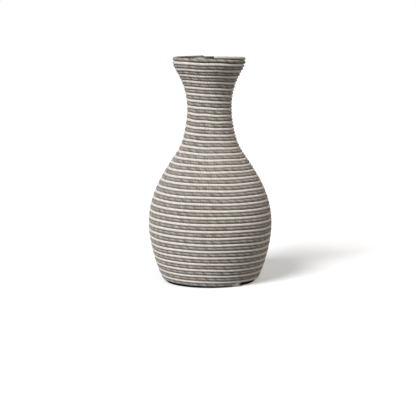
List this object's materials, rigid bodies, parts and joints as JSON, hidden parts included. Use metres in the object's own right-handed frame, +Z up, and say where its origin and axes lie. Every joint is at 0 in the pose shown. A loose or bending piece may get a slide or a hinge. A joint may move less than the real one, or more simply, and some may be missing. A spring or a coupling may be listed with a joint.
{
  "type": "cord-wound bottle vase",
  "caption": "Bottle-shaped vase with a narrow neck and flared mouth: a hollow stoneware core closely wound with two cords laid side by side.",
  "frame": {"origin": "centre of the underside, on the surface that the vase stands on", "axes": "+Z up along the vase's axis, -Y towards the viewer, +X to the viewer's right"},
  "size_m": [0.1492, 0.1492, 0.2724],
  "materials": {
    "stoneware": "dark, close to matt slip glaze",
    "glue": "thin dried film",
    "pad": "soft black foam felt",
    "cream_cord": "twisted cream twine",
    "grey_cord": "twisted marled grey twine"
  },
  "bodies": {
    "root": {"vessel": "stoneware", "glue_coat": "glue", "base_pad": "pad", "cord_cream": "cream_cord", "cord_grey": "grey_cord"}
  },
  "joints": []
}
